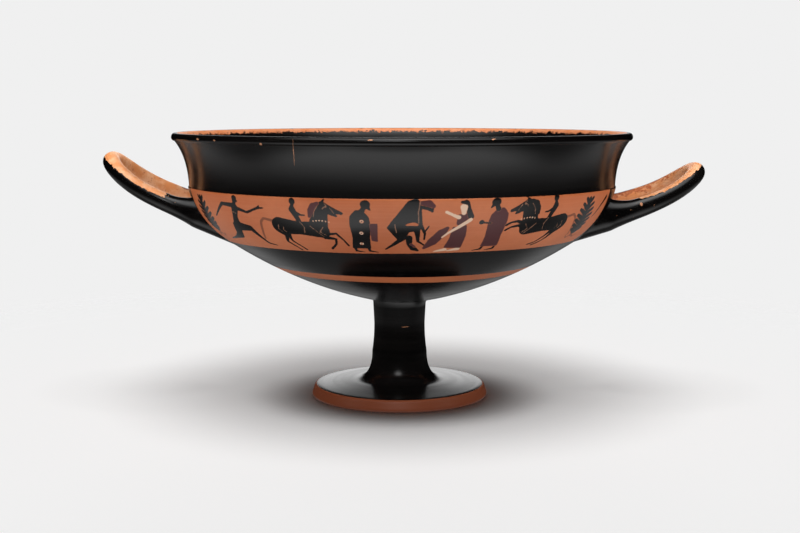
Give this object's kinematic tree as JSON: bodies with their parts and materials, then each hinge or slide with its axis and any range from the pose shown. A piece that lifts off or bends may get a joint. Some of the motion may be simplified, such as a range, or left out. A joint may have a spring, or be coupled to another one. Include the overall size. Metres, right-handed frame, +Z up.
{
  "type": "kylix cup",
  "caption": "Wide footed drinking cup with an offset lip, slender stem, disc foot and upturned loop handles, in black slip over orange clay with a painted band of figures.",
  "frame": {"origin": "on the bowl's axis, in the plane that the foot stands on", "axes": "+Z up out of the bowl; X through both handles; -Y is the painted front"},
  "size_m": [0.2905, 0.2204, 0.1291],
  "materials": {
    "slip_painted_clay": "glossy black slip over orange clay, worn at the rim and handles"
  },
  "bodies": {
    "root": {"kylix": "slip_painted_clay"}
  },
  "joints": []
}
